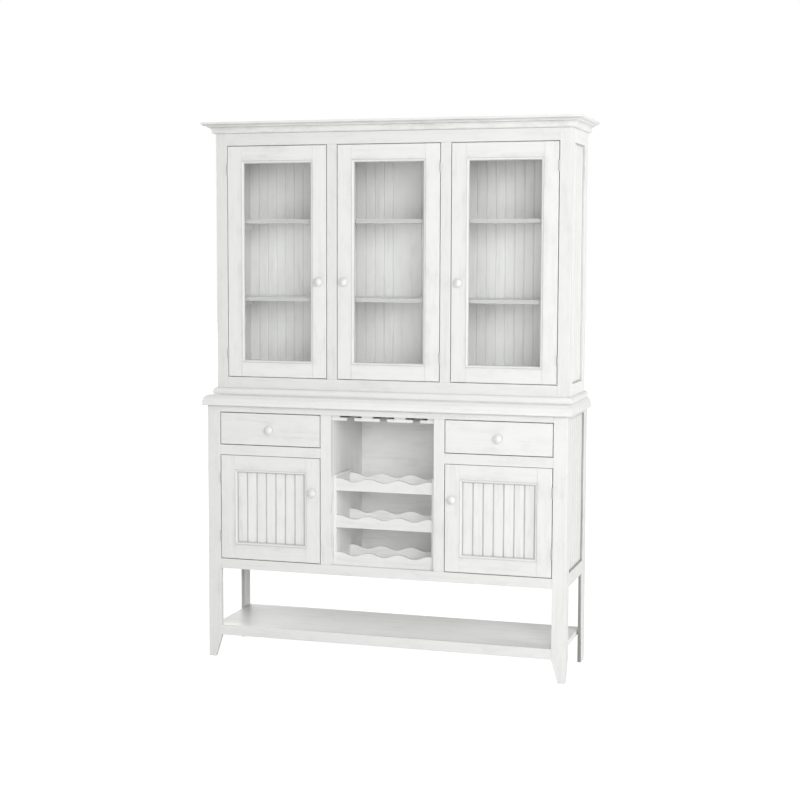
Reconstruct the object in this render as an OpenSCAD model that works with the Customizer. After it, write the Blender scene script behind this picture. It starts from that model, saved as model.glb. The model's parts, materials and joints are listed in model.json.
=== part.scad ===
// China cabinet: a hutch with three glass doors stands on a buffet with two drawers,
// two beadboard doors, a stemware rack over a wine rack, and an open shelf between its legs.
// Millimetres, +Z up, front towards -Y. The origin is on the floor under the middle.

/* [Buffet] */
// Width across the corner posts
base_w = 1422; // [1380:2:1480]
// Depth from the face frame to the back
body_d = 390; // [380:2:440]
// Width of a corner post's front face
post_w = 52.5; // [46:0.5:60]
// Width of the open bay between the two mullions
bay_w = 408; // [396:2:420]
// Width of a mullion beside the open bay
mullion_w = 41.5; // [38:0.5:46]
// Height of the underside of the moulded top
top_z = 994; // [980:1:1010]
// Thickness of the moulded top
top_t = 41; // [36:1:46]
// How far the moulded top stands out in front
top_reach = 20; // [18:1:26]
// Height of the case's underside, above the open shelf
case_z = 353; // [340:1:360]
// Height of the floor inside the case
floor_z = 391.5; // [388:0.5:396]
// Height of the rail under the drawers, at its lower edge
mid_rail_z = 802; // [796:1:808]
// Height of the rail under the drawers, at its upper edge
drawer_sill_z = 841; // [836:1:846]
// Height of the rail over the drawers, at its lower edge
drawer_head_z = 969; // [962:1:972]
// Height of the open shelf's upper face
shelf_z = 127; // [120:1:150]
// Height of the open shelf's front rail
shelf_rail_h = 40; // [34:1:44]
// Width of a foot at the floor
foot_w = 27; // [24:1:36]

/* [Hutch] */
// Width of the hutch's case
hutch_w = 1400; // [1370:2:1410]
// How far the hutch's front stands behind the buffet's front
setback = 75; // [60:1:80]
// Width of a hutch corner stile's front face
hutch_post_w = 45; // [42:1:50]
// Width of the middle door's opening
hutch_bay_w = 410; // [400:2:416]
// Width of a hutch mullion
hutch_mullion_w = 40; // [37:1:44]
// Height of the floor inside the hutch
hutch_floor_z = 1100; // [1094:1:1106]
// Height of the upper edge of the door openings
hutch_head_z = 1996; // [1980:1:2000]
// Heights of the upper faces of the two shelves
hutch_shelf_z = [1412, 1713];
// Overall height, at the top of the crown
total_h = 2084; // [2078:1:2090]
// Reach of the crown beyond the hutch's sides and front
crown_reach = 45; // [42:1:48]
// Height of the crown
crown_h = 42; // [40:1:44]

/* [Doors and drawers] */
// Clear gap round an inset door or drawer front
reveal = 3; // [2.5:0.1:3.5]
// Gap over a buffet door, which fits closer there
base_head_gap = 1.8; // [1.5:0.1:3]
// Thickness of a door or drawer front
door_t = 18; // [17:0.5:19]
// Width of a door's stiles and rails
stile_w = 56; // [52:1:60]
// Width of the bead round a door's glass or panel
bead_w = 10; // [8:0.5:12]
// Height of the hutch doors' knobs
hutch_knob_z = 1475; // [1400:1:1560]
// Height of the buffet doors' knobs
base_knob_z = 669; // [600:1:720]
// Length of a knob
knob_len = 28; // [26:0.5:30]
// Depth of a drawer box behind its front
drawer_depth = 320; // [300:1:325]
// Distance between the grooves of the beadboard
board_pitch = 39; // [36:0.5:42]

/* [Hidden] */
$fn = 64;

// Finishes
paint = [0.93, 0.93, 0.915];
inside_paint = [0.86, 0.86, 0.85];
metal = [0.66, 0.64, 0.60];
pane = [0.80, 0.88, 0.90, 0.35];

// Thicknesses of the boards
frame_t = 20;    // face frames
side_t = 15;     // side frames
board_t = 15;    // floors and dividers
back_t = 6;      // backs
panel_t = 7;     // beadboard
glass_t = 3;
joint = 0.2;     // joint line between two bars of one frame

// Joinery of the cases
side_stile_w = 60;                 // side frame stile, with the face frame's thickness in front
top_rail_h = 14;                   // side frame's rail under the moulded top
side_panel_z = 404;                // lower edge of the buffet's side panels
panel_recess = 8;                  // how far the side panels lie behind their frames
hutch_side_panel_z = [1102, 1990]; // lower and upper edges of the hutch's side panels
cap_t = 12;                        // board that closes the hutch at the top
plinth_h = 23;                     // moulding round the foot of the hutch
plinth_reach = 14;
top_side_reach = top_reach - 4;
batten_w = 86;                     // flat batten in the middle of the hutch's back

// Places in the width
half_w = base_w / 2;
open_out = half_w - post_w;
bay_half = bay_w / 2;
open_in = bay_half + mullion_w;
hutch_half = hutch_w / 2;
hutch_out = hutch_half - hutch_post_w;
hutch_bay_half = hutch_bay_w / 2;
hutch_in = hutch_bay_half + hutch_mullion_w;
side_in = half_w - side_t;
hutch_side_in = hutch_half - side_t;

// Places in the depth, counted back from the buffet's front face
front_y = -(body_d - knob_len) / 2;
back_y = body_d - back_t;
hutch_y = setback;
hutch_z = top_z + top_t;
crown_z = total_h - crown_h;

// Doors
bead_recess = 1.5;    // bead behind the door's front
panel_y = 9;          // glass or panel behind the door's front
stop_w = 8;
hinge_angle_room = 0.3;
hinge_r = 2.6;
hinge_y = -(hinge_r + hinge_angle_room);
hinge_len = 40;
hinge_inset = 88;     // from a door's end to the middle of its hinge
pin_r = 1.2;
pin_play = 0.05;
leaf_t = reveal / 2 - joint;
leaf_d = 15;
strike_t = 1;

// Drawers
box_t = 12;
box_gap = 4;
box_lift = 0.5;
box_h = 108;
runner_w = 24;

// Racks
cell_pitch = 130.5;   // from one hanging glass to the next
slot_w = 30;
flange_z = 948;
flange_t = 12;
hanger_w = 44;
hanger_y = [20, 320];
rack_y = [26, 206];
rack_side_t = 13;
rack_half = bay_half - 1;
rack_level = 143;
rack_levels = 3;
rack_rail_t = 12;
rack_peak = 48;
rack_valley = 34;
rack_pitch = 120;

// ---- Plain helpers ----

// Board between two corners, with y counted back from the buffet's front face
module board(x, y, z) {
    translate([x[0], front_y + y[0], z[0]]) cube([x[1] - x[0], y[1] - y[0], z[1] - z[0]]);
}

// What is on the right, and its mirror image on the left
module both_sides() {
    children();
    mirror([1, 0, 0]) children();
}

// Section in the (y, z) plane, run along X
module along_x(x, points) {
    translate([x[0], front_y, 0]) rotate([90, 0, 90]) linear_extrude(x[1] - x[0]) polygon(points);
}

// Section in the (x, z) plane, run along Y
module along_y(y, points) {
    translate([0, front_y + y[1], 0]) rotate([90, 0, 0]) linear_extrude(y[1] - y[0]) polygon(points);
}

// Outline in the (x, y) plane, run along Z
module along_z(z, points) {
    translate([0, front_y, z[0]]) linear_extrude(z[1] - z[0]) polygon(points);
}

// Points along an arc, from angle a to angle b
function arc(centre, r, a, b, steps = 8) =
    [for (i = [0:steps]) let (t = a + (b - a) * i / steps) centre + r * [cos(t), sin(t)]];

// Rectangular frame of four separate bars: stiles of full height, rails between them
module bar_frame(x, y, z, stile, low_rail, high_rail) {
    for (s = [[x[0], x[0] + stile], [x[1] - stile, x[1]]]) board(s, y, z);
    rail_x = [x[0] + stile + joint, x[1] - stile - joint];
    board(rail_x, y, [z[0], z[0] + low_rail]);
    board(rail_x, y, [z[1] - high_rail, z[1]]);
}

// ---- Beadboard ----

groove_w = 7;
groove_d = 2.6;

// Places of the grooves that divide a width into boards of about the beadboard's pitch.
// A panel's outer boards are wider by hidden, which its frame or bead covers.
function grooves(a, b, hidden) =
    let (width = b - a - 2 * hidden, n = max(2, round(width / board_pitch)))
    [for (i = [1:n - 1]) a + hidden + width * i / n];

// One grooved edge from a to b: each groove is a shallow V of depth d
function grooved_edge(a, b, d, hidden) =
    concat(
        [[a, 0]],
        [for (g = grooves(a, b, hidden)) each [[g - groove_w / 2, 0], [g, d], [g + groove_w / 2, 0]]],
        [[b, 0]]
    );

// Outline of a beadboard of thickness t, grooved in front and, if asked, behind
function beadboard(a, b, t, hidden = 0, behind = false) =
    let (rear = behind ? grooved_edge(a, b, -groove_d, hidden) : [[a, 0], [b, 0]])
    concat(
        grooved_edge(a, b, groove_d, hidden),
        [for (i = [len(rear) - 1:-1:0]) rear[i] + [0, t]]
    );

// Beadboard that faces the front, at depth y
module front_beadboard(x, y, z, t, hidden = 0) {
    along_z(z, [for (p = beadboard(x[0], x[1], t, hidden)) p + [0, y]]);
}

// Beadboard that faces the side, with its outer face at x, grooved on both faces
module side_beadboard(x, y, z, t) {
    along_z(z, [for (p = beadboard(y[0], y[1], t, behind = true)) [x - p[1], p[0]]]);
}

// ---- Mouldings ----

// Moulding round the front and both sides of a case: profile points are [reach, height]
module wrapped_moulding(half, y, profile, reach, z) {
    intersection() {
        along_x([-half - reach, half + reach], [for (p = profile) [y[0] - p[0], p[1]]]);
        along_z(z, [
            [joint - half, y[0]], [half - joint, y[0]],
            [half + reach - joint, y[0] - reach], [joint - half - reach, y[0] - reach]
        ]);
    }
    both_sides() intersection() {
        along_y([y[0] - reach, y[1]], [for (p = profile) [half + p[0], p[1]]]);
        along_z(z, [
            [half, y[0]], [half + reach, y[0] - reach], [half + reach, y[1]], [half, y[1]]
        ]);
    }
}

// Mitred bead round the inside of a rectangle centred at (cx, cz), with its face at depth y
module mitred_bead(cx, cz, a, b, y) {
    depth = panel_y - bead_recess;
    round_r = depth - 0.5;
    section = concat(
        [[0, depth], [0, 0]],
        arc([bead_w - round_r, round_r], round_r, 270, 360, 6),
        [[bead_w, depth]]
    );
    translate([cx, 0, cz]) {
        for (flip = [0, 1]) mirror([0, 0, flip]) intersection() {
            along_x([-a, a], [for (p = section) [y + p[1], p[0] - b]]);
            along_y([y, y + depth], mitre_outline(a, b));
        }
        for (flip = [0, 1]) mirror([flip, 0, 0]) intersection() {
            along_z([-b, b], [for (p = section) [p[0] - a, y + p[1]]]);
            along_y([y, y + depth], [for (p = mitre_outline(b, a)) [p[1], p[0]]]);
        }
    }
}

// Trapezoid of the lower bar of a mitred frame with half sizes a and b
function mitre_outline(a, b) = [
    [joint - a, -b], [a - joint, -b], [a - bead_w - joint, bead_w - b], [bead_w + joint - a, bead_w - b]
];

// ---- Turned knob ----

module knob(x, y, z) {
    head_r = 16;
    neck_r = 6.5;
    rose_r = 9.5;
    rim = 18;
    color(paint) translate([x, front_y + y, z]) rotate([90, 0, 0]) rotate_extrude()
        polygon(concat(
            [[0, 0], [rose_r, 0], [rose_r, 2]],
            arc([rose_r, 6], 3, 250, 180, 5),
            arc([neck_r + 7, 9], 7, 180, 110, 5),
            arc([head_r - 4, rim], 4, -60, 30, 6),
            arc([0, knob_len - 19], 18, 50, 74, 5),
            [[4.2, knob_len - 1.9]],
            arc([0, knob_len - 8], 8, 58, 90, 4)
        ));
}

// ---- Hinges ----

// Leaf of a hinge in the gap beside a door: side is -1 for the door's half, 1 for the fixed half
module leaf(x, y, z, side) {
    near = side > 0 ? joint : -joint - leaf_t;
    board([x + near, x + near + leaf_t], [y + joint, y + leaf_d], [z - hinge_len / 2, z + hinge_len / 2]);
}

// Stretches of the barrel, counted from the hinge's middle, and whether they carry the pin
third = hinge_len / 6;
fixed_knuckles = [[-hinge_len / 2, -third - joint], [third + joint, hinge_len / 2]];
door_knuckle = [-third + joint, third - joint];

module knuckle(x, y, z, span, side) {
    translate([x, front_y + y + hinge_y, z + span[0]]) cylinder(r = hinge_r, h = span[1] - span[0]);
    near = side > 0 ? joint : -joint - leaf_t;
    board([x + near, x + near + leaf_t], [y + hinge_y, y + 2 * joint], [z + span[0], z + span[1]]);
}

// Fixed half: a leaf, two knuckles and the pin
module fixed_hinge(x, y, z, dir) {
    leaf(x, y, z, dir);
    for (span = fixed_knuckles) knuckle(x, y, z, span, dir);
    translate([x, front_y + y + hinge_y, z - hinge_len / 2]) cylinder(r = pin_r, h = hinge_len);
}

// Door's half: a leaf and one knuckle that turns on the pin
module door_hinge(x, y, z, dir) {
    difference() {
        union() {
            leaf(x, y, z, -dir);
            knuckle(x, y, z, door_knuckle, -dir);
        }
        translate([x, front_y + y + hinge_y, z - hinge_len / 2])
            cylinder(r = pin_r + pin_play, h = hinge_len);
    }
}

// ---- Doors ----
// A door is [left edge of its opening, right edge, lower edge, upper edge, depth of its face,
// side of its hinges: -1 left or 1 right, height of its knob, gap over it]

function hutch_door(x, side) =
    [x[0], x[1], hutch_floor_z, hutch_head_z, hutch_y, side, hutch_knob_z, reveal];
function base_door(x, side) =
    [x[0], x[1], floor_z, mid_rail_z, 0, side, base_knob_z, base_head_gap];
hutch_left = hutch_door([-hutch_out, -hutch_in], -1);
hutch_middle = hutch_door([-hutch_bay_half, hutch_bay_half], 1);
hutch_right = hutch_door([hutch_in, hutch_out], 1);
base_left = base_door([-open_out, -open_in], -1);
base_right = base_door([open_in, open_out], 1);
doors = [hutch_left, hutch_middle, hutch_right, base_left, base_right];

function door_x(d) = [d[0] + reveal, d[1] - reveal];
function door_z(d) = [d[2] + reveal, d[3] - d[7]];
function hinge_x(d) = d[5] < 0 ? d[0] + reveal / 2 : d[1] - reveal / 2;
function hinge_zs(d) = [d[2] + reveal + hinge_inset, d[3] - reveal - hinge_inset];
function knob_x(d) = d[5] < 0 ? d[1] - reveal - stile_w / 2 : d[0] + reveal + stile_w / 2;

module door_frame(d) {
    color(paint) bar_frame(door_x(d), [d[4], d[4] + door_t], door_z(d), stile_w, stile_w, stile_w);
}

module door_bead(d) {
    x = door_x(d);
    z = door_z(d);
    color(paint) mitred_bead(
        (x[0] + x[1]) / 2, (z[0] + z[1]) / 2,
        (x[1] - x[0]) / 2 - stile_w, (z[1] - z[0]) / 2 - stile_w, d[4] + bead_recess
    );
}

module door_glass(d) {
    x = door_x(d);
    z = door_z(d);
    color(pane) board(
        [x[0] + stile_w, x[1] - stile_w], [d[4] + panel_y, d[4] + panel_y + glass_t],
        [z[0] + stile_w, z[1] - stile_w]
    );
}

// Square strips that hold the glass from behind
module door_stops(d) {
    x = door_x(d);
    z = door_z(d);
    color(inside_paint) bar_frame(
        [x[0] + stile_w, x[1] - stile_w], [d[4] + panel_y + glass_t, d[4] + door_t],
        [z[0] + stile_w, z[1] - stile_w], stop_w, stop_w, stop_w
    );
}

module door_panel(d) {
    x = door_x(d);
    z = door_z(d);
    color(paint) front_beadboard(
        [x[0] + stile_w, x[1] - stile_w], d[4] + panel_y, [z[0] + stile_w, z[1] - stile_w],
        panel_t, bead_w
    );
}

module door_knob(d) {
    knob(knob_x(d), d[4], d[6]);
}

// The door's hinge halves and the strike plate for its magnetic catch
module door_hardware(d) {
    color(metal) {
        for (z = hinge_zs(d)) door_hinge(hinge_x(d), d[4], z, d[5]);
        back = d[4] + door_t;
        board(
            [knob_x(d) - 15, knob_x(d) + 15], [back, back + strike_t],
            [d[2] + reveal + 2, d[2] + reveal + 14]
        );
    }
}

module hinge_leaves() {
    color(metal) for (d = doors, z = hinge_zs(d)) fixed_hinge(hinge_x(d), d[4], z, d[5]);
}

// Magnetic catches on the floors behind the free edges of the doors
module door_catches() {
    color(metal) for (d = doors) {
        back = d[4] + door_t + strike_t + 0.5;
        board([knob_x(d) - 20, knob_x(d) + 20], [back, back + 14], [d[2], d[2] + 15]);
    }
}

// ---- Buffet ----

// Corner posts with tapered feet, mullions and rails
module base_face_frame() {
    color(paint) {
        taper_z = shelf_z - shelf_rail_h;
        both_sides() along_y([0, frame_t], [
            [half_w, 0], [half_w - foot_w, 0], [open_out, taper_z], [open_out, top_z], [half_w, top_z]
        ]);
        post_x = open_out - joint;
        board([-post_x, post_x], [0, frame_t], [drawer_head_z, top_z]);
        board([-post_x, post_x], [0, frame_t], [case_z, floor_z]);
        both_sides() {
            board([bay_half, open_in], [0, frame_t], [floor_z + joint, drawer_head_z - joint]);
            board([open_in + joint, post_x], [0, frame_t], [mid_rail_z, drawer_sill_z]);
        }
    }
}

// Side frames: the front stile backs the post, and the rear stile is the rear leg
module base_side_frames() {
    color(paint) both_sides() {
        taper_z = shelf_z - shelf_rail_h;
        rear = body_d - side_stile_w;
        intersection() {
            board([side_in, half_w], [frame_t, side_stile_w], [0, top_z]);
            along_x([side_in, half_w], [
                [frame_t, 0], [foot_w, 0], [side_stile_w, taper_z], [side_stile_w, top_z], [frame_t, top_z]
            ]);
        }
        board([side_in, half_w], [rear, body_d], [0, top_z]);
        board([side_in, half_w], [side_stile_w + joint, rear - joint], [case_z, side_panel_z]);
        board([side_in, half_w], [side_stile_w + joint, rear - joint], [top_z - top_rail_h, top_z]);
    }
}

module base_side_panels() {
    color(paint) both_sides() side_beadboard(
        half_w - panel_recess, [side_stile_w, body_d - side_stile_w],
        [side_panel_z, top_z - top_rail_h], panel_t
    );
}

module base_back_panel() {
    color(inside_paint) board([-side_in, side_in], [back_y, body_d], [case_z, top_z]);
}

module base_floor() {
    color(inside_paint) board([-side_in, side_in], [frame_t, back_y], [floor_z - board_t, floor_z]);
}

module base_dividers() {
    color(inside_paint) both_sides()
        board([bay_half, bay_half + board_t], [frame_t, back_y], [floor_z, top_z]);
}

// Profile of the moulded top: a square edge below a large quarter round
top_round = 24;
function top_profile(reach) = concat(
    [[reach - 1.5, 0], [reach, 1.5], [reach, top_t - top_round - 1], [reach - 1, top_t - top_round]],
    arc([reach - 1 - top_round, top_t - top_round], top_round, 0, 90)
);

module base_top() {
    front = top_profile(top_reach);
    side = top_profile(top_side_reach);
    long = half_w + top_side_reach + 1;
    color(paint) translate([0, 0, top_z]) intersection() {
        along_x([-long, long], concat(
            [[body_d, top_t], [body_d, 0]], [for (p = front) [-p[0], p[1]]]
        ));
        along_y([-top_reach - 1, body_d + 1], concat(
            [for (p = side) [half_w + p[0], p[1]]],
            [for (i = [len(side) - 1:-1:0]) [-half_w - side[i][0], side[i][1]]]
        ));
    }
}

// Open shelf board, between its front and rear rails
shelf_t = 22;
shelf_rail_t = 18;

module lower_shelf() {
    color(paint) board(
        [4 - side_in, side_in - 4], [frame_t + joint, body_d - shelf_rail_t - joint],
        [shelf_z - shelf_t, shelf_z]
    );
}

// Deep front rail between the legs, and a rear rail as thick as the board
module lower_shelf_rails() {
    rail_x = open_out - joint;
    color(paint) {
        board([-rail_x, rail_x], [frame_t - shelf_rail_t, frame_t], [shelf_z - shelf_rail_h, shelf_z]);
        board([-side_in, side_in], [body_d - shelf_rail_t, body_d], [shelf_z - shelf_t, shelf_z]);
    }
}

// Runner under, guide beside and kicker above each side of both drawers
module drawer_runners() {
    rear = back_y - joint;
    box_side = [open_in + box_gap, open_out - box_gap];
    walls = [bay_half + board_t, side_in];
    color(inside_paint) both_sides() for (s = [0, 1]) {
        dir = s == 0 ? 1 : -1;
        wall = walls[s];
        inner = box_side[s] + dir * runner_w;
        guide = box_side[s] - dir * 0.6;
        top = drawer_sill_z + box_h;
        board(sorted(wall, inner), [frame_t, rear], [drawer_sill_z - board_t, drawer_sill_z]);
        board(sorted(wall, guide), [frame_t, rear], [drawer_sill_z + joint, drawer_sill_z + 24]);
        board(sorted(wall, inner), [frame_t, rear], [top + 4, top + 16]);
    }
}
function sorted(a, b) = [min(a, b), max(a, b)];

// ---- Drawers, drawn for the right side and mirrored for the left ----

module drawer_front() {
    color(paint) board(
        [open_in + reveal, open_out - reveal], [0, door_t], [drawer_sill_z + reveal, drawer_head_z - reveal]
    );
}

// Two sides, a back, an inner front and a bottom
module drawer_box() {
    x = [open_in + box_gap, open_out - box_gap];
    y = [door_t, door_t + drawer_depth];
    z = [drawer_sill_z + box_lift, drawer_sill_z + box_h];
    inner = [x[0] + box_t + joint, x[1] - box_t - joint];
    bottom_z = z[0] + 10;
    color(inside_paint) {
        board([x[0], x[0] + box_t], y, z);
        board([x[1] - box_t, x[1]], y, z);
        board(inner, [y[1] - box_t, y[1]], [bottom_z, z[1]]);
        board(inner, [y[0], y[0] + box_t], [bottom_z, z[1]]);
        board(inner, [y[0] + box_t + joint, y[1] - box_t - joint], [bottom_z, bottom_z + 6]);
    }
}

module drawer_knob() {
    knob((open_in + open_out) / 2, 0, (drawer_sill_z + drawer_head_z) / 2);
}

// ---- Stemware and wine racks ----

// T-shaped rails: a hanger under the top and a wider rail that the glasses' feet rest on
module stemware_rails() {
    half_flange = (cell_pitch - slot_w) / 2;
    centres = [cell_pitch / 2, 3 * cell_pitch / 2];
    end_x = centres[1] - hanger_w / 2;
    hanger_z = [flange_z + flange_t + joint, top_z];
    color(paint) both_sides() {
        board([centres[0] - half_flange, centres[0] + half_flange], hanger_y, [flange_z, flange_z + flange_t]);
        board([centres[0] - hanger_w / 2, centres[0] + hanger_w / 2], hanger_y, hanger_z);
        board([centres[1] - half_flange, bay_half], hanger_y, [flange_z, flange_z + flange_t]);
        board([end_x, bay_half], hanger_y, hanger_z);
    }
}

module wine_rack_sides() {
    color(paint) both_sides() board(
        [rack_half - rack_side_t, rack_half], rack_y,
        [floor_z, floor_z + rack_level * (rack_levels - 1) + rack_peak + 12]
    );
}

// Rails with a bottle hollow every rack_pitch, one pair on each level
module wine_rack_rails() {
    half = rack_half - rack_side_t;
    mean = (rack_peak + rack_valley) / 2;
    swing = (rack_peak - rack_valley) / 2;
    wave = [for (i = [-24:24]) let (x = i * half / 24)
        [x, mean - swing * cos(360 * x / rack_pitch)]];
    color(paint) for (level = [0:rack_levels - 1], y = [rack_y[0], rack_y[1] - rack_rail_t])
        translate([0, 0, floor_z + level * rack_level])
            along_y([y, y + rack_rail_t], concat(wave, [[half, 0], [-half, 0]]));
}

// ---- Hutch ----

module hutch_face_frame() {
    y = [hutch_y, hutch_y + frame_t];
    top = total_h - cap_t;
    color(paint) {
        both_sides() {
            board([hutch_out, hutch_half], y, [hutch_z, top]);
            board([hutch_bay_half, hutch_in], y, [hutch_floor_z + joint, hutch_head_z - joint]);
        }
        rail_x = hutch_out - joint;
        board([-rail_x, rail_x], y, [hutch_z, hutch_floor_z]);
        board([-rail_x, rail_x], y, [hutch_head_z, top]);
    }
}

module hutch_side_frames() {
    front = hutch_y + frame_t;
    panel_front = hutch_y + side_stile_w;
    rear = body_d - side_stile_w;
    top = total_h - cap_t;
    x = [hutch_side_in, hutch_half];
    color(paint) both_sides() {
        board(x, [front, panel_front], [hutch_z, top]);
        board(x, [rear, body_d], [hutch_z, top]);
        board(x, [panel_front + joint, rear - joint], [hutch_z, hutch_side_panel_z[0]]);
        board(x, [panel_front + joint, rear - joint], [hutch_side_panel_z[1], top]);
    }
}

module hutch_side_panels() {
    color(paint) both_sides() side_beadboard(
        hutch_half - panel_recess, [hutch_y + side_stile_w, body_d - side_stile_w],
        hutch_side_panel_z, panel_t
    );
}

// Two beadboards, and a batten over the joint between them
module hutch_back_boards() {
    z = [hutch_z, total_h - cap_t];
    color(inside_paint) {
        both_sides() front_beadboard([joint, hutch_side_in], back_y, z, back_t);
        board([-batten_w / 2, batten_w / 2], [back_y - 5 - joint, back_y - joint],
            [hutch_floor_z, hutch_head_z]);
    }
}

module hutch_floor() {
    color(inside_paint) board(
        [-hutch_side_in, hutch_side_in], [hutch_y + frame_t, back_y],
        [hutch_floor_z - board_t, hutch_floor_z]
    );
}

hutch_shelf_t = 14;
hutch_shelf_y = [hutch_y + frame_t + 12, back_y - 7];

module hutch_shelves() {
    color(inside_paint) for (z = hutch_shelf_z) board(
        [1 - hutch_side_in, hutch_side_in - 1], hutch_shelf_y, [z - hutch_shelf_t, z]
    );
}

// Wooden cleats under the ends of the shelves, with sloping front ends
module shelf_cleats() {
    y = hutch_shelf_y;
    color(inside_paint) both_sides() for (z = hutch_shelf_z) {
        under = z - hutch_shelf_t;
        along_x([hutch_side_in - 14, hutch_side_in], [
            [y[0] + 10, under], [y[1], under], [y[1], under - 24], [y[0] + 28, under - 24]
        ]);
    }
}

module hutch_top() {
    color(paint) board([-hutch_half, hutch_half], [hutch_y, body_d], [total_h - cap_t, total_h]);
}

// Crown: a bead, a cove, a fillet and a rounded top edge
module crown_moulding() {
    z = crown_z;
    profile = concat(
        [[0, z]], arc([5, z + 8], 8, -90, 0, 6),
        arc([28, z + 10], 15, 180, 90), [[28, z + 29]],
        arc([crown_reach - 12, z + 41], 12, -90, 0), [[crown_reach, total_h], [0, total_h]]
    );
    color(paint) wrapped_moulding(
        hutch_half, [hutch_y, body_d], profile, crown_reach, [z, total_h]
    );
}

// Moulding round the foot of the hutch
module hutch_base_moulding() {
    z = hutch_z;
    profile = concat(
        [[0, z], [plinth_reach, z], [plinth_reach, z + plinth_h - 13]],
        arc([plinth_reach - 13, z + plinth_h - 13], 13, 0, 90), [[0, z + plinth_h]]
    );
    color(paint) wrapped_moulding(
        hutch_half, [hutch_y, body_d], profile, plinth_reach, [z, z + plinth_h]
    );
}

// ---- Nodes ----

base_face_frame();
base_side_frames();
base_side_panels();
base_back_panel();
base_floor();
base_dividers();
base_top();
lower_shelf();
lower_shelf_rails();
drawer_runners();
stemware_rails();
wine_rack_sides();
wine_rack_rails();
hutch_face_frame();
hutch_side_frames();
hutch_side_panels();
hutch_back_boards();
hutch_floor();
hutch_shelves();
shelf_cleats();
hutch_top();
crown_moulding();
hutch_base_moulding();
hinge_leaves();
door_catches();
door_frame(hutch_left);  // hutch_left_door_frame
door_bead(hutch_left);  // hutch_left_door_bead
door_glass(hutch_left);  // hutch_left_door_glass
door_stops(hutch_left);  // hutch_left_door_stops
door_knob(hutch_left);  // hutch_left_door_knob
door_hardware(hutch_left);  // hutch_left_door_hardware
door_frame(hutch_middle);  // hutch_middle_door_frame
door_bead(hutch_middle);  // hutch_middle_door_bead
door_glass(hutch_middle);  // hutch_middle_door_glass
door_stops(hutch_middle);  // hutch_middle_door_stops
door_knob(hutch_middle);  // hutch_middle_door_knob
door_hardware(hutch_middle);  // hutch_middle_door_hardware
door_frame(hutch_right);  // hutch_right_door_frame
door_bead(hutch_right);  // hutch_right_door_bead
door_glass(hutch_right);  // hutch_right_door_glass
door_stops(hutch_right);  // hutch_right_door_stops
door_knob(hutch_right);  // hutch_right_door_knob
door_hardware(hutch_right);  // hutch_right_door_hardware
door_frame(base_left);  // base_left_door_frame
door_bead(base_left);  // base_left_door_bead
door_panel(base_left);  // base_left_door_panel
door_knob(base_left);  // base_left_door_knob
door_hardware(base_left);  // base_left_door_hardware
door_frame(base_right);  // base_right_door_frame
door_bead(base_right);  // base_right_door_bead
door_panel(base_right);  // base_right_door_panel
door_knob(base_right);  // base_right_door_knob
door_hardware(base_right);  // base_right_door_hardware
mirror([1, 0, 0]) drawer_front();  // left_drawer_front
mirror([1, 0, 0]) drawer_box();  // left_drawer_box
mirror([1, 0, 0]) drawer_knob();  // left_drawer_knob
drawer_front();  // right_drawer_front
drawer_box();  // right_drawer_box
drawer_knob();  // right_drawer_knob
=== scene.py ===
"""White two-part china cabinet with glass doors: its looks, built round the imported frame.

Metres, +Z up, the doors face -Y, and the origin is on the floor under the middle.
"""

import json
import math
import random

import bmesh
import bpy
from mathutils import Matrix, Quaternion, Vector
from mathutils.bvhtree import BVHTree


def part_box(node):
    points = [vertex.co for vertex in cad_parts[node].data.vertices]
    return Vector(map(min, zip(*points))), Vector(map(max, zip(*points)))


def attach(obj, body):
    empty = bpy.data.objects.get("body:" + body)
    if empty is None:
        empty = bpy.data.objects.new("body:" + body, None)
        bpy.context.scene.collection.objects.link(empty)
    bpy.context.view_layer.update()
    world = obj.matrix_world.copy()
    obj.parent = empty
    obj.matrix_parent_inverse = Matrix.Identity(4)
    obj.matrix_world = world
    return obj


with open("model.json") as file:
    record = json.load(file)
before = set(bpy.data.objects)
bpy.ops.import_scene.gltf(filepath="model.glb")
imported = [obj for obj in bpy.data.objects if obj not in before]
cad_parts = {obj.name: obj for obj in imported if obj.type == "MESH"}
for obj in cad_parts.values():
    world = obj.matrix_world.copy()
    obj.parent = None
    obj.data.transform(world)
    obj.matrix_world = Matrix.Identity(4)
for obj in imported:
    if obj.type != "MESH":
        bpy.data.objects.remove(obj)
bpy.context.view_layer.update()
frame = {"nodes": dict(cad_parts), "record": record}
scene = bpy.context.scene

# ---- Camera and studio ----

CAMERA_AT = (1.816, -5.940, 1.590)
CAMERA_HEADING = math.radians(16.85)
CAMERA_TILT = math.radians(-5.26)
CAMERA_ROLL = math.radians(0.18)
LENS = 72.46

# Each softbox: place, size, power in watts, and whether glass and metal mirror it
SOFTBOXES = {
    "key": ((2.9, -5.2, 2.6), 2.4, 148, True),
    "front_fill": ((0.5, -6.0, 1.3), 3.0, 101, False),
    "side_fill": ((5.0, -0.6, 1.7), 2.5, 119, False),
    "rear_fill": ((-3.6, 4.2, 2.2), 3.0, 125, True),
}
AIM_AT = (0, 0, 1.1)
AMBIENT = 0.43
FLOOR_RADIUS = 30
FLOOR_FADE = (1.2, 4.0)  # radii between which the floor fades into the white background

# ---- Finishes, as linear colours ----

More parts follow.
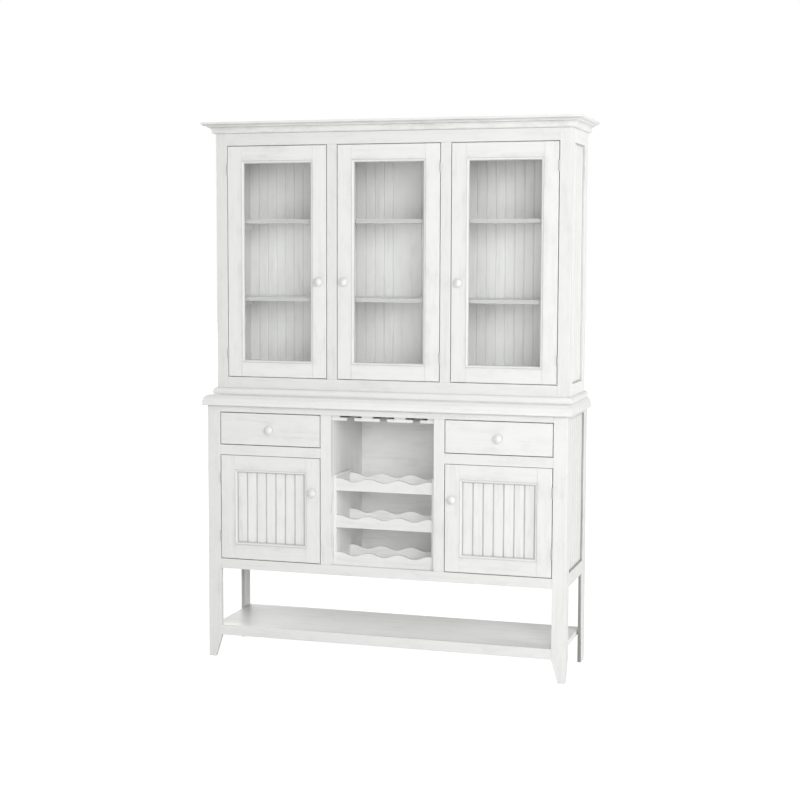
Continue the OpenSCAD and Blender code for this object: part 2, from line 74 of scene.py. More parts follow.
PAINT = (0.735, 0.735, 0.722, 1)
# The grey glaze; the wider seams and hazes darken with it too, as painted shade
GLAZE = (0.38, 0.38, 0.37, 1)
# A darker glaze for these nodes; on base_top it also darkens the painted shadow line under the
# counter's edge
DARK_GLAZE = (0.24, 0.24, 0.23, 1)
DARK_GLAZED = ("base_side_frames", "base_side_panels", "base_top")
# Painted light: the insides are painted much lighter than the outside, so that they come out light in
# their shade
INSIDE = (0.94, 0.94, 0.925, 1)
INSIDE_GLAZE = (0.50, 0.50, 0.49, 1)
# Painted light: the wine rack in the shaded bay is painted lighter than the outside too
RACK_INSIDE = (0.86, 0.86, 0.845, 1)
SHELF_EDGE_SHADE = (0.58, 0.58, 0.57, 1)  # front edges of the hutch's shelves, painted darker: painted shade inside the cabinet
# Painted shade: the fronts of the rear legs under the case are painted dark, darker on the right, with
# a dark grey streaked over them
REAR_LEG_PAINTED_SHADE = {"left": (0.47, 0.47, 0.4606, 1), "right": (0.27, 0.27, 0.2646, 1)}
REAR_LEG_SHADE_GREY = (0.20, 0.20, 0.19, 1)
DRAWER_WOOD = (0.60, 0.43, 0.26)
DRAWER_GRAIN = (0.40, 0.25, 0.13)
DRAWER_PALE = (0.66, 0.50, 0.32)
DRAWER_PORES = (0.2, 0.12, 0.06, 1)

# Metals, each clean and dulled
NICKEL = ((0.64, 0.64, 0.63, 1), (0.56, 0.56, 0.55, 1))
STEEL = ((0.48, 0.48, 0.47, 1), (0.30, 0.30, 0.29, 1))
# Painted shade: the walls and floor of a screw's slot are dark metal
SLOT_SHADE = ((0.10, 0.10, 0.10, 1), (0.05, 0.05, 0.05, 1))

# Painted light and shade: how much lighter or darker some nodes are painted than the rest, for the
# light that falls on them
PAINTED_LIGHT_TONES = {
    "hutch_face_frame": 0.965,
    "hutch_left_door_frame": 1.03,
    "hutch_middle_door_frame": 1.02,
    "hutch_side_frames": 1.09,
    "hutch_side_panels": 1.06,
    "hutch_base_moulding": 1.05,
    "base_face_frame": 0.985,
    "base_side_frames": 0.98,
    "base_top": 1.03,
    "lower_shelf": 1.13,
    "base_left_door_panel": 1.04,
    "base_right_door_panel": 1.02,
    "base_back_panel": 0.88,
    "base_dividers": 0.90,
}
COUNTER_PAINTED_LIGHT = 1.14      # the upper face of base_top, painted lighter: painted light on the counter
# Painted shade: the knobs are painted a little darker, to tone down their lit side
KNOB_PAINTED_SHADE = 0.97
# Painted light: the crown's returns, along the sides, are painted lighter than its front
CROWN_RETURN_PAINTED_LIGHT = 1.08

# How streaky the glaze of some nodes is, next to the rest
INSIDE_STREAKS = 1.3
STREAKS = {"base_top": 0.42, "hutch_base_moulding": 0.7, "crown_moulding": 1.2, "lower_shelf": 0.9}
CROWN_RETURN_STREAKS = 0.648
RETURN_SEAMS = 0.35      # how much of the glaze and painted shade in these nodes' corners their returns get; less, so the returns are painted lighter

# Beadboard nodes, and the axis along which their grooves follow each other
BEADBOARDS = {
    "base_side_panels": 1,
    "hutch_side_panels": 1,
    "hutch_back_boards": 0,
    "base_left_door_panel": 0,
    "base_right_door_panel": 0,
}

# ---- Sizes that aren't in the frame ----

EASED_EDGE = 0.0008      # rounding of a board's exposed edges
BEAD_EDGE = 0.0005       # rounding of beadboard and small mouldings
METAL_EDGE = 0.00025
JOINT_EASE = 0.12        # how much of that rounding an edge in a joint gets
DRAWER_BOARD = 0.012     # thickness of a drawer box's boards
BOARD_PITCH = 0.039      # from one beadboard groove to the next
GROOVE = 0.007           # width of a groove
GATHER = 0.85            # how much glaze grooves hold
INSIDE_GATHER = 0.3
BEAD = 0.010             # width of the bead round a door's glass or panel
MEETING_GAP = 0.0004     # edges closer than this to another board are joints
SHARP = math.radians(28)
WELD = 1e-5              # corners closer than this are one
FACING = 0.9             # a face whose normal goes this far along an axis faces that way
COUNTER_FACING = 0.7     # the counter's painted light goes a little way round its edge
WIDE_SEAM = 0.010        # seams wider than this are soft smudges of painted shade rather than glaze lines
HAZE = 0.10              # and wider than this, an even haze of painted shade
FAR = 50                 # how far an outline runs on where only one of its edges counts
PANEL_WIDTH = 0.15       # boards wider than this in a beadboard node are the beadboard


def world_and_floor():
    """White to the camera, dimmer as a light, over a floor that fades to white."""
    world = bpy.data.worlds.new("studio")
    world.use_nodes = True
    nodes, links = world.node_tree.nodes, world.node_tree.links
    background = nodes["Background"]
    background.inputs["Color"].default_value = (1, 1, 1, 1)
    seen = nodes.new("ShaderNodeLightPath").outputs["Is Camera Ray"]
    strength = nodes.new("ShaderNodeMapRange")
    strength.inputs["To Min"].default_value = AMBIENT
    links.new(seen, strength.inputs["Value"])
    links.new(strength.outputs[0], background.inputs["Strength"])
    scene.world = world

    bm = bmesh.new()
    bmesh.ops.create_circle(bm, cap_ends=True, segments=96, radius=FLOOR_RADIUS)
    floor = new_object("studio_floor", bm)
    floor.data.materials.append(pale_floor())


def pale_floor():
    m = Material("pale_floor")
    place = m.add("TexCoord").outputs["Object"]
    cloud = m.noise(place, (0.8, 0.8, 0.8), 3)
    shade = m.mix(m.ramp(cloud, 0.3, 0.7, 0, 0.05), (0.8, 0.8, 0.8, 1), (0.75, 0.75, 0.75, 1))
    matt = m.add("BsdfDiffuse", {"Color": shade}).outputs[0]
    glow = m.add("Emission", {"Color": (1, 1, 1, 1), "Strength": 1.2}).outputs[0]
    radius = m.add("VectorMath", {0: place}, operation="LENGTH").outputs["Value"]
    seen = m.add("LightPath").outputs["Is Camera Ray"]
    share = m.math("MULTIPLY", m.ramp(radius, *FLOOR_FADE, 0.82, 1.0), seen)
    m.show(m.add("MixShader", {0: share, 1: matt, 2: glow}).outputs[0])
    return m.made


def softbox(name, at, size, power, mirrored):
    """A square area light that looks at the cabinet."""
    light = bpy.data.lights.new(name, "AREA")
    light.shape = "SQUARE"
    light.size = size
    light.energy = power
    lamp = bpy.data.objects.new(name, light)
    lamp.location = at
    lamp.rotation_euler = (Vector(AIM_AT) - Vector(at)).to_track_quat("-Z", "Y").to_euler()
    lamp.visible_glossy = mirrored
    scene.collection.objects.link(lamp)


def camera():
    lens = bpy.data.cameras.new("camera")
    lens.lens = LENS
    lens.sensor_width = 36
    lens.clip_end = 100
    eye = bpy.data.objects.new("camera", lens)
    turn = (
        Matrix.Rotation(CAMERA_HEADING, 4, "Z")
        @ Matrix.Rotation(math.pi / 2 + CAMERA_TILT, 4, "X")
        @ Matrix.Rotation(CAMERA_ROLL, 4, "Z")
    )
    eye.matrix_world = Matrix.Translation(CAMERA_AT) @ turn
    scene.collection.objects.link(eye)
    scene.camera = eye


# ---- Plain helpers ----


def new_object(name, bm):
    """Makes an object from a bmesh, which is used up."""
    mesh = bpy.data.meshes.new(name)
    bm.to_mesh(mesh)
    bm.free()
    made = bpy.data.objects.new(name, mesh)
    scene.collection.objects.link(made)
    return made


class Material:
    """A material with short calls for adding shader nodes and joining them."""

    def __init__(self, name):
        self.made = bpy.data.materials.new(name)
        self.made.use_nodes = True
        self.tree = self.made.node_tree
        self.tree.nodes.clear()
        self.surface = self.add("OutputMaterial").inputs["Surface"]

    def add(self, kind, inputs=(), **settings):
        """Adds a node. inputs maps its sockets to values or to other nodes' outputs."""
        made = self.tree.nodes.new("ShaderNode" + kind)
        for key, value in settings.items():
            setattr(made, key, value)
        for key, value in dict(inputs).items():
            if isinstance(value, bpy.types.NodeSocket):
                self.tree.links.new(value, made.inputs[key])
            else:
                made.inputs[key].default_value = value
        return made

    def show(self, output):
        self.tree.links.new(output, self.surface)

    def math(self, operation, *values):
        return self.add("Math", dict(enumerate(values)), operation=operation).outputs[0]

    def vector(self, operation, *values):
        return self.add("VectorMath", dict(enumerate(values)), operation=operation).outputs[0]

    def scaled(self, direction, amount):
        return self.add("VectorMath", {0: direction, "Scale": amount}, operation="SCALE").outputs[0]

    def board_place(self):
        """Object coordinates, a random number for each board, and coordinates moved by it."""
        raw = self.add("TexCoord").outputs["Object"]
        board = self.add("NewGeometry").outputs["Random Per Island"]
        return raw, board, self.vector("ADD", raw, self.scaled((3.1, 5.7, 7.9), board))

    def ramp(self, value, low, high, to_low=0.0, to_high=1.0):
        """value from low..high to to_low..to_high, smoothly and clamped."""
        return self.add(
            "MapRange",
            {"Value": value, 1: low, 2: high, 3: to_low, 4: to_high},
            interpolation_type="SMOOTHSTEP",
        ).outputs[0]

    def noise(self, place, scale, detail=2.0, rough=0.5):
        """Noise from 0 to 1; scale is per metre along X, Y and Z."""
        stretched = self.vector("MULTIPLY", place, scale)
        inputs = {"Vector": stretched, "Scale": 1.0, "Detail": detail, "Roughness": rough}
        return self.add("TexNoise", inputs).outputs[0]

    def bump(self, strength, distance, height):
        inputs = {"Strength": strength, "Distance": distance, "Height": height}
        return self.add("Bump", inputs).outputs[0]

    def mix(self, amount, a, b):
        return self.add("Mix", {0: amount, 6: a, 7: b}, data_type="RGBA").outputs[2]

    def shader(self, **inputs):
        named = {key.replace("_", " "): value for key, value in inputs.items()}
        return self.add("BsdfPrincipled", named)


# ---- Painted wood ----


def along(axis, fine, long):
    """Scale per metre of a pattern that is long along one axis and fine across it."""
    return tuple(long if i == axis else fine for i in range(3))


def toned(colour, scale):
    """A lighter or darker colour."""
    return tuple(c * scale for c in colour[:3]) + (1,)


def seam(m, raw, outline, width):
    """1 on the outline of a box and 0 beyond width from it; outline maps axes to (low, high)."""
    split = m.add("SeparateXYZ", {0: raw})
    beyond = None
    for axis, (low, high) in outline.items():
        off = m.math("ABSOLUTE", m.math("SUBTRACT", split.outputs[axis], (low + high) / 2))
        off = m.math("SUBTRACT", off, (high - low) / 2)
        beyond = off if beyond is None else m.math("MAXIMUM", beyond, off)
    return m.ramp(m.math("ABSOLUTE", beyond), 0, width, 1, 0)


def painted_wood(
    name, axis, paint=PAINT, glaze=GLAZE, strength=1.0,
    boards=None, seams=(), gather=GATHER, rough_from=0.42,
):
    """Brushed paint over wood whose grain runs along axis, with a thin grey glaze wiped over it.

    boards is (axis, start, pitch, mirrored) of beadboard grooves and gather how much glaze they
    hold. seams lists (outline, width, depth) of lines where glaze gathers in corners, and of wider
    bands of painted shade. rough_from is the roughness of the smoothest strokes.
    """
    m = Material(name)
    raw, board, place = m.board_place()
    tone = board
    groove = None
    if boards:
        across, start, pitch, mirrored = boards
        split = m.add("SeparateXYZ", {0: raw}).outputs[across]
        if mirrored:
            split = m.math("ABSOLUTE", split)
        step = m.math("DIVIDE", m.math("SUBTRACT", split, start), pitch)
        off = m.math("MULTIPLY", m.math("PINGPONG", step, 0.5), pitch)
        groove = m.ramp(off, GROOVE * 0.15, GROOVE * 0.6, 1, 0)
        strip = m.add("TexWhiteNoise", {"W": m.math("FLOOR", step)}, noise_dimensions="1D")
        tone = strip.outputs[0]
        place = m.vector("ADD", place, m.scaled((0.3, 0.3, 1.3), tone))

    # Brush strokes wander, so the streaks are not ruled lines
    wander = m.add("TexNoise", {"Vector": place, "Scale": 4.0, "Detail": 2.0}).outputs[1]
    swayed = m.vector("ADD", place, m.scaled(wander, 0.018))
    smear = m.noise(swayed, along(axis, 75, 3.2), 4, 0.6)
    hair = m.noise(swayed, along(axis, 300, 7), 3, 0.6)
    patch = m.noise(place, along(axis, 11, 5), 3, 0.6)
    cloud = m.noise(swayed, along(axis, 24, 10), 4, 0.65)
    smears = m.math("MULTIPLY", m.ramp(smear, 0.45, 0.75, 0, 0.20), m.ramp(patch, 0.38, 0.64, 0.2, 1.0))
    hairs = m.math("MULTIPLY", m.ramp(hair, 0.5, 0.78, 0, 0.11), m.ramp(patch, 0.38, 0.66))
    clouds = m.ramp(cloud, 0.46, 0.80, 0, 0.17)
    amount = m.math("ADD", m.math("ADD", smears, hairs), clouds)
    amount = m.math("MULTIPLY", amount, strength)

    # Glaze in grooves and corners, and painted shade in the wider seams, broken up a little by the
    # strokes
    uneven = m.ramp(hair, 0.25, 0.7, 0.55, 1.0)
    if groove is not None:
        amount = m.math("ADD", amount, m.math("MULTIPLY", groove, m.math("MULTIPLY", uneven, gather)))
    for outline, width, depth in seams:
        line = m.math("MULTIPLY", seam(m, raw, outline, width), depth)
        if width < HAZE:
            patchy = uneven if width < WIDE_SEAM else m.ramp(cloud, 0.38, 0.66, 0.3, 1.0)
            line = m.math("MULTIPLY", line, patchy)
        amount = m.math("ADD", amount, line)
    amount = m.add("Clamp", {0: amount}).outputs[0]
    colour = m.mix(amount, m.mix(tone, paint, toned(paint, 0.975)), glaze)

    rough = m.ramp(smear, 0.3, 0.7, rough_from, rough_from + 0.14)
    ridges = m.noise(place, along(axis, 1100, 14), 2)
    grain = m.noise(place, along(axis, 300, 5), 3)
    height = m.math("ADD", m.math("MULTIPLY", ridges, 0.4), grain)
    bump = m.bump(0.6, 0.00006, height)
    m.show(m.shader(Base_Color=colour, Roughness=rough, Normal=bump).outputs[0])
    return m.made


def lacquered_wood(name, axis, deepen=1.0):
    """Pale hardwood under clear lacquer, for drawer boxes and runners; end grain is deeper."""
    pale, dark, light = (toned(wood, deepen) for wood in (DRAWER_WOOD, DRAWER_GRAIN, DRAWER_PALE))
    m = Material(name)
    _, board, place = m.board_place()
    bend = m.noise(place, along(axis, 6, 1.5), 2)
    rings = m.noise(place, along(axis, 55, 1.6), 3, 0.6)
    pores = m.noise(place, along(axis, 700, 22), 2)
    figure = m.math("ADD", m.ramp(rings, 0.35, 0.7, 0, 0.7), m.ramp(bend, 0.3, 0.7, 0, 0.3))
    colour = m.mix(figure, pale, dark)
    colour = m.mix(m.ramp(pores, 0.62, 0.75, 0, 0.5), colour, DRAWER_PORES)
    colour = m.mix(m.math("MULTIPLY", board, 0.25), colour, light)
    rough = m.ramp(rings, 0.3, 0.7, 0.34, 0.46)
    bump = m.bump(0.5, 0.00005, pores)
    m.show(m.shader(Base_Color=colour, Roughness=rough, Normal=bump).outputs[0])
    return m.made


# ---- Metal and glass ----


def metal_finish(name, clean, dull):
    """Brushed metal with dull smudges."""
    m = Material(name)
    place = m.add("TexCoord").outputs["Object"]
    brushing = m.noise(place, (2500, 2500, 120), 2)
    smudge = m.noise(place, (90, 90, 90), 2)
    rough = m.math("ADD", m.ramp(brushing, 0.3, 0.7, 0.36, 0.48), m.ramp(smudge, 0.4, 0.8, 0, 0.12))
    colour = m.mix(m.ramp(smudge, 0.45, 0.8, 0, 0.35), clean, dull)
    bump = m.bump(0.3, 0.00002, brushing)
    m.show(m.shader(Base_Color=colour, Metallic=1.0, Roughness=rough, Normal=bump).outputs[0])
    return m.made


def window_glass(name):
    """Clear float glass: light passes straight through, and the outer faces mirror a little."""
    m = Material(name)
    place = m.add("TexCoord").outputs["Object"]
    film = m.noise(place, (5, 5, 3), 3)
    wave = m.noise(place, (4, 4, 6), 1)
    bump = m.bump(0.25, 0.0006, wave)
    clear = m.add("BsdfTransparent", {0: (0.995, 0.998, 0.997, 1)}).outputs[0]
    rough = m.ramp(film, 0.4, 0.7, 0.0, 0.05)
    mirror = m.add("BsdfGlossy", {"Roughness": rough, "Normal": bump}).outputs[0]
    outward = m.math("SUBTRACT", 1.0, m.add("NewGeometry").outputs["Backfacing"])
    share = m.math("MULTIPLY", m.add("Fresnel", {"IOR": 1.5, "Normal": bump}).outputs[0], outward)
    share = m.math("ADD", share, m.math("MULTIPLY", m.ramp(film, 0.45, 0.8, 0, 0.02), outward))
    m.show(m.add("MixShader", {0: share, 1: clear, 2: mirror}).outputs[0])
    return m.made


# ---- Boards of a CAD node ----


class Boards:
    """A CAD node's mesh taken apart: its separate boards, and its sharp edges."""

    def __init__(self, name):
        self.mesh = frame["nodes"][name].data
        bm = bmesh.new()
        bm.from_mesh(self.mesh)
        tag = bm.faces.layers.int.new("face")
        for face in bm.faces:
            face[tag] = face.index
        bmesh.ops.remove_doubles(bm, verts=bm.verts, dist=WELD)
        self.board_of = {}
        self.boxes = []
        self.faces = []
        for seed in bm.faces:
            if seed[tag] not in self.board_of:
                self.gather(seed, tag)
        self.points = [v.co.copy() for v in bm.verts]
        bm.verts.index_update()
        self.polygons = [[v.index for v in f.verts] for f in bm.faces]
        self.polygon_board = [self.board_of[f[tag]] for f in bm.faces]
        self.sharp = [
            (e.verts[0].co.copy(), e.verts[1].co.copy(), self.board_of[e.link_faces[0][tag]])
            for e in bm.edges
            if len(e.link_faces) == 2 and e.calc_face_angle(0) > SHARP
        ]
        bm.free()

    def gather(self, seed, tag):
        """Walks over one board's faces from seed."""
        number = len(self.boxes)
        found, waiting = [], [seed]
        self.board_of[seed[tag]] = number
        while waiting:
            face = waiting.pop()
            found.append(face)
            for edge in face.edges:
                for other in edge.link_faces:
                    if other[tag] not in self.board_of:
                        self.board_of[other[tag]] = number
                        waiting.append(other)
        corners = [v.co for f in found for v in f.verts]
        low = Vector([min(c[i] for c in corners) for i in range(3)])
        high = Vector([max(c[i] for c in corners) for i in range(3)])
        self.boxes.append((low, high))
        self.faces.append([f[tag] for f in found])


def meeting_edges(names):
    """For each node, the sharp edges that lie against another board, as sets of end points."""
    points, polygons, owners = [], [], []
    for name in names:
        base = len(points)
        points += boards[name].points
        polygons += [[base + i for i in p] for p in boards[name].polygons]
        owners += [(name, b) for b in boards[name].polygon_board]
    tree = BVHTree.FromPolygons(points, polygons)
    found = {}
    for name in names:
        found[name] = set()
        for a, b, board in boards[name].sharp:
            own = (name, board)
            samples = [a.lerp(b, t) for t in (0.1, 0.5, 0.9)]
            if all(
                any(owners[hit[2]] != own for hit in tree.find_nearest_range(p, MEETING_GAP))
                for p in samples
            ):
                found[name].add(edge_key(a, b))
    return found


def edge_key(a, b):
    """Names an edge by its ends, to a tenth of a millimetre."""
    ends = [tuple(round(c * 1e4) for c in p) for p in (a, b)]
    return tuple(sorted(ends))


def ease_edges(name, width, meeting, edge_slot=None):
    """Rounds a CAD node's exposed edges with modifiers, and leaves its vertices as they are."""
    node = frame["nodes"][name]
    mesh = node.data
    sharp = {edge_key(a, b) for a, b, _ in boards[name].sharp}
    weights = mesh.attributes.new("bevel_weight_edge", "FLOAT", "EDGE")
    for edge, weight in zip(mesh.edges, weights.data):
        key = edge_key(*(mesh.vertices[i].co for i in edge.vertices))
        if key in sharp:
            weight.value = JOINT_EASE if key in meeting else 1.0

    if "custom_normal" in mesh.attributes:
        mesh.attributes.remove(mesh.attributes["custom_normal"])
    mesh.shade_smooth()

    # Flat faces become single polygons first, so that only real edges are rounded
    weld = node.modifiers.new("weld", "WELD")
    weld.merge_threshold = WELD
    flat = node.modifiers.new("flat", "DECIMATE")
    flat.decimate_type = "DISSOLVE"
    flat.angle_limit = math.radians(0.6)
    flat.delimit = {"MATERIAL"}
    bevel = node.modifiers.new("bevel", "BEVEL")
    bevel.limit_method = "WEIGHT"
    bevel.width = width
    bevel.segments = 2
    if edge_slot is not None:
        bevel.material = edge_slot
    node.modifiers.new("normals", "WEIGHTED_NORMAL")


def set_materials(name, materials, choose):
    """Gives a CAD node its material slots; choose picks a slot for each board from its box."""
    mesh = frame["nodes"][name].data
    mesh.materials.clear()
    for material in materials:
        mesh.materials.append(material)
    for (low, high), faces in zip(boards[name].boxes, boards[name].faces):
        slot = choose(low, high)
        for i in faces:
            mesh.polygons[i].material_index = slot


def middle(low, high):
    return (Vector(low) + Vector(high)) / 2


def longest_axis(low, high):
    size = high - low
    return max(range(3), key=lambda i: size[i])


# ---- Where the glaze gathers, and where shade is painted ----


def outline_of(name, axes, inset=0.0):
    """The outline of a node's box along two axes, drawn in by inset."""
    low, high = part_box(name)
    return {axis: (low[axis] + inset, high[axis] - inset) for axis in axes}


def level(z):
    """A level line, as the lower edge of an outline that runs on upwards."""
    return {2: (z, z + FAR)}


def seams_of(name):
    """Lines and bands where a node's paint is darkened, each as (outline, width, depth): glaze in
    corners, painted shade in the wider bands.
    """
    if name.endswith(("door_frame", "door_bead", "door_panel")):
        bead = name.rsplit("_", 1)[0] + "_bead"
        outer = outline_of(bead, (0, 2))
        inner = outline_of(bead, (0, 2), BEAD)
        # Thin glaze lines along the bead, and wide soft bands of painted shade beside it on the frame
        # and the panel
        glaze_and_shade = {
            "frame": [(outer, 0.0026, 0.9), (outer, 0.022, 0.14)],
            "bead": [(outer, 0.0026, 0.9), (inner, 0.006, 0.55)],
            "panel": [(inner, 0.005, 0.6), (inner, 0.030, 0.16)],
        }
        return glaze_and_shade[name.rsplit("_", 1)[1]]
    if name.endswith(("side_frames", "side_panels")):
        panels = name.replace("frames", "panels")
        wide = name.endswith("panels")
        depth = 0.9 if wide or name.startswith("base") else 0.6
        return [(outline_of(panels, (1, 2)), 0.009 if wide else 0.003, depth)]
    low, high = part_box(name)
    if name == "hutch_base_moulding":
        return [(level(high[2]), 0.002, 0.35)]
    if name == "base_top":
        # A painted shadow line along the lower edge of the counter
        return [(level(low[2]), 0.004, 1.0)]
    if name == "lower_shelf":
        back = {1: (high[1], high[1] + FAR)}
        left = {0: (low[0] - FAR, low[0])}
        return [(back, 0.35, 0.26), (left, 0.70, 0.28)]  # painted shade, darker towards the back and the left; both wide enough to be a haze
    if name == "crown_moulding":
        # Glaze lines at the profile's steps, a band of painted shade under the crown, and painted shade
        # in its cove
        return [
            (level(low[2]), 0.002, 0.7),
            (level(low[2]), 0.014, 0.30),
            (level(high[2] - 0.022), 0.018, 0.32),  # painted shade in the cove
            (level(high[2] - 0.018), 0.003, 0.45),
            (level(high[2] - 0.009), 0.003, 0.9),
        ]
    return []


# ---- Finishes on the CAD nodes ----

# The slots of a painted node: grain along X, Y and Z, then eased edges, then what else it has
EDGE_SLOT = 3
EXTRA_SLOT = 4


def painted_set(name, paint=PAINT, glaze=GLAZE, strength=1.0):
    """Paint for grain along X, Y and Z."""
    return [painted_wood(name + "_" + "xyz"[axis], axis, paint, glaze, strength) for axis in range(3)]


def toward_front(face):
    """Whether a face looks to the front, which is -Y."""
    return face.normal.y < -FACING


def under_case(face, side):
    """Whether a face is the front of the rear leg on that side, -1 or 1, below the case, where shade is
    painted.
    """
    low_enough = face.center.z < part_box("base_floor")[0][2]
    return toward_front(face) and face.center.y > 0 and low_enough and face.center.x * side > 0


def face_slot(name, slot, chosen):
    """Gives some faces of a CAD node another material slot."""
    for face in frame["nodes"][name].data.polygons:
        if chosen(face):
            face.material_index = slot


def colours_of(name, inner):
    """A node's paint, with its painted light tone, and its glaze."""
    tone = PAINTED_LIGHT_TONES.get(name, 1.0)
    if inner:
        return toned(INSIDE, tone), INSIDE_GLAZE
    return toned(PAINT, tone), DARK_GLAZE if name in DARK_GLAZED else GLAZE


def beadboard_paint(name, across):
    """Paint of a beadboard node whose grooves follow each other along the axis across."""
    low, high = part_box(name)
    inner = name == "hutch_back_boards"
    hidden = BEAD if name.endswith("door_panel") else 0.0
    start = 0.0 if inner else low[across] + hidden
    span = high[across] - hidden - start
    pitch = span / max(2, round(span / BOARD_PITCH))
    return painted_wood(
        "beadboard_" + name,
        2,
        *colours_of(name, inner),
        boards=(across, start, pitch, inner),
        seams=seams_of(name),
        gather=INSIDE_GATHER if inner else GATHER,
    )


def finish_beadboard(name, paints):
    """Grooved paint on the beadboard, and plain paint on what else the node holds."""
    across = BEADBOARDS[name]

    def slot_of(low, high):
        wide = high[across] - low[across] > PANEL_WIDTH
        return EXTRA_SLOT if wide else longest_axis(low, high)

    set_materials(name, paints + [beadboard_paint(name, across)], slot_of)
    if across == 0:
        face_slot(name, 2, lambda face: face.normal.y > FACING)  # the back of the board is flat


def own_paints(name, inner, edge_paint):
    """Paints of a node with glaze or painted shade in its corners, or with a painted light tone or
    streaks of its own.
    """
    paint, glaze = colours_of(name, inner)
    strength = STREAKS.get(name, INSIDE_STREAKS if inner else 1.0)
    seams = seams_of(name)
    paints = [
        painted_wood(name + suffix, axis, paint, glaze, strength, seams=seams)
        for axis, suffix in ((0, "_x"), (2, "_z"))
    ]
    # The crown's returns get painted light: a lighter paint and fewer streaks
    if name == "crown_moulding":
        paint, strength = toned(paint, CROWN_RETURN_PAINTED_LIGHT), CROWN_RETURN_STREAKS
    if name in STREAKS:
        seams = [(outline, width, depth * RETURN_SEAMS) for outline, width, depth in seams]
    # The returns: pieces that run back along the sides
    paints.insert(1, painted_wood(name + "_y", 1, paint, glaze, strength, seams=seams))
    return paints + [edge_paint]


def finish_rack(name, paints):
    """Only the front of the wine rack is painted like the outside; the rest gets the lighter rack
    paint, painted light in the shaded bay.
    """
    middle_y = middle(*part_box(name)).y
    rails = name.endswith("rails")

    def slot_of(low, high):
        in_front = rails and high.y < middle_y
        return longest_axis(low, high) + (0 if in_front else EXTRA_SLOT)

    set_materials(name, paints + rack_inside, slot_of)
    if not rails:
        face_slot(name, 2, toward_front)


def finish_paint(name, meeting):
    """Painted boards: each board's grain runs along it, and exposed edges are eased."""
    if name.endswith("_knob"):
        set_materials(name, [knob_paint], lambda low, high: 0)
        ease_edges(name, BEAD_EDGE, meeting)
        return
    inner = slots[name] != "painted_wood"
    paints = inside if inner else outside
    if name in BEADBOARDS:
        finish_beadboard(name, paints)
        ease_edges(name, BEAD_EDGE, meeting)
        return
    if seams_of(name) or name in STREAKS or name in PAINTED_LIGHT_TONES:
        paints = own_paints(name, inner, paints[EDGE_SLOT])
    if name.startswith("wine_rack"):
        finish_rack(name, paints)
    else:
        set_materials(name, paints + extra_paints.get(name, []), longest_axis)
    if name == "base_side_frames":
        # The fronts of the rear legs under the case get the painted shade, one paint for each side
        face_slot(name, EXTRA_SLOT, lambda face: under_case(face, -1))
        face_slot(name, EXTRA_SLOT + 1, lambda face: under_case(face, 1))
    elif name == "base_top":
        # painted light on the counter's upper face
        face_slot(name, EXTRA_SLOT, lambda face: face.normal.z > COUNTER_FACING)
    elif name == "hutch_shelves":
        # the shelves' front faces get the painted shade of the shelf edge
        face_slot(name, EXTRA_SLOT, toward_front)
    small = name.endswith(("bead", "moulding"))
    ease_edges(name, BEAD_EDGE if small else EASED_EDGE, meeting, EDGE_SLOT)


# ---- Screws and dovetails, which the frame leaves out ----

HEAD_STEPS = 10          # faces round half a screw head
HEAD_TOP = 0.86          # its flat top, in parts of its width
SLOT_SHARE = 0.17        # its slot, in the same way
SUNK = 0.0003            # how far these pieces reach into the board they sit on
LEAF_JOINT = 0.0002      # from a hinge's axis to each of its leaves
LEAF_HEIGHT = 0.03       # a door's hardware taller than this is a leaf, and the rest strike plates
LEAF_ROWS = ((-0.013, 0.0070), (0, 0.0105), (0.013, 0.0070))  # height and depth of a leaf's screws
STRIKE_SCREWS = (-0.010, 0.010)  # either side of a strike plate's middle
BACK_SCREWS = 8          # in a row along the top and bottom of a back
BACK_INSET = 0.014       # from the back's edges to the screws
PINS = 5                 # dovetail pins at a corner of a drawer box
PIN_PROUD = 0.0001       # how far the pins' ends stand out, so that they show
PIN_NARROW = 0.16        # half widths of a pin's ends, in parts of the pitch
PIN_WIDE = 0.27

# Radius of each kind of screw's head, and how far it stands out
LEAF_HEAD = (0.0022, 0.00012)
STRIKE_HEAD = (0.0017, 0.0002)
KNOB_HEAD = (0.0042, 0.0016)
BACK_HEAD = (0.0036, 0.0004)


